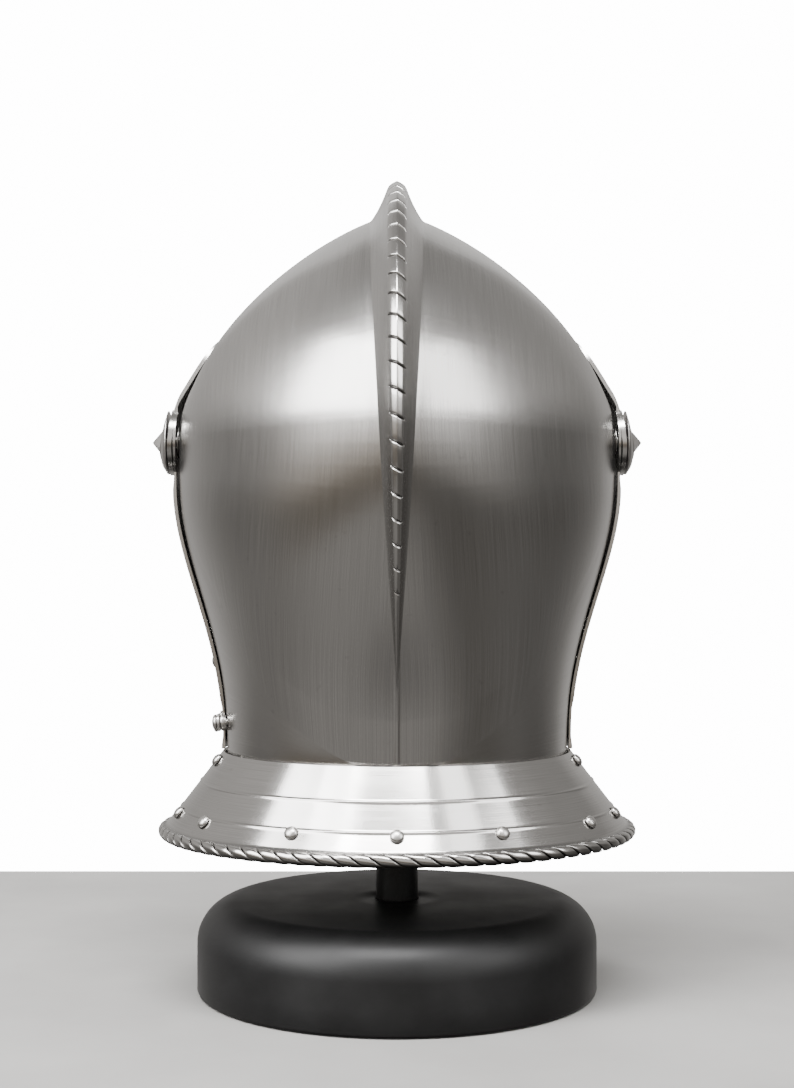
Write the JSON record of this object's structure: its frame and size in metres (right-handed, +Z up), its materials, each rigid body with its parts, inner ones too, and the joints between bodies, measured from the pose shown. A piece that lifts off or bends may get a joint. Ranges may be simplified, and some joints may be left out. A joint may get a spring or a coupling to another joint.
{
  "type": "close helmet on display stand",
  "caption": "Plate close helmet with a high comb, a visor and bevor on side pivots and a flared neck guard, carried on a round black stand with a hidden head rest.",
  "frame": {"origin": "centre of the stand's underside", "axes": "+Z up; -Y the way the helmet faces, +Y its back, which the picture shows; +X the wearer's left"},
  "size_m": [0.2464, 0.2881, 0.4009],
  "materials": {
    "plate_steel": "vertically brushed grey steel plate, satin",
    "fitting_steel": "polished grey steel rivets, pivots and catch",
    "black_paint": "satin black paint"
  },
  "bodies": {
    "skull_on_stand": {"stand_base": "black_paint", "stand_post": "black_paint", "stand_head_rest": "black_paint", "skull_plate": "plate_steel", "collar_rear": "plate_steel", "lining_rivet_1": "fitting_steel", "lining_rivet_2": "fitting_steel", "lining_rivet_3": "fitting_steel", "lining_rivet_4": "fitting_steel", "lining_rivet_5": "fitting_steel", "lining_rivet_6": "fitting_steel", "lining_rivet_7": "fitting_steel", "collar_rivet_left": "fitting_steel", "collar_rivet_right": "fitting_steel", "pivot_rosette_left": "fitting_steel", "pivot_rosette_right": "fitting_steel", "pivot_spacer_left": "fitting_steel", "pivot_spacer_right": "fitting_steel", "hook_stud": "fitting_steel"},
    "bevor": {"bevor_plate": "plate_steel", "collar_front": "plate_steel", "lining_rivet_8": "fitting_steel", "lining_rivet_9": "fitting_steel", "lining_rivet_10": "fitting_steel", "lining_rivet_11": "fitting_steel", "lining_rivet_12": "fitting_steel", "cheek_rivet": "fitting_steel", "hook_pivot": "fitting_steel"},
    "visor": {"visor_plate": "plate_steel"},
    "hook": {"locking_hook": "fitting_steel"}
  },
  "joints": [
    {"name": "bevor_hinge", "type": "hinge", "parent": "skull_on_stand", "child": "bevor", "pos_m": [0, 0, 0.274], "axis": [-1, 0, 0], "range_deg": [0, 28]},
    {"name": "visor_hinge", "type": "hinge", "parent": "bevor", "child": "visor", "pos_m": [0, 0, 0.274], "axis": [-1, 0, 0], "range_deg": [0, 30]},
    {"name": "hook_hinge", "type": "hinge", "parent": "bevor", "child": "hook", "pos_m": [0.08862, -0.008, 0.13393], "axis": [0.9945, 0, -0.1045], "range_deg": [0, 90]}
  ]
}
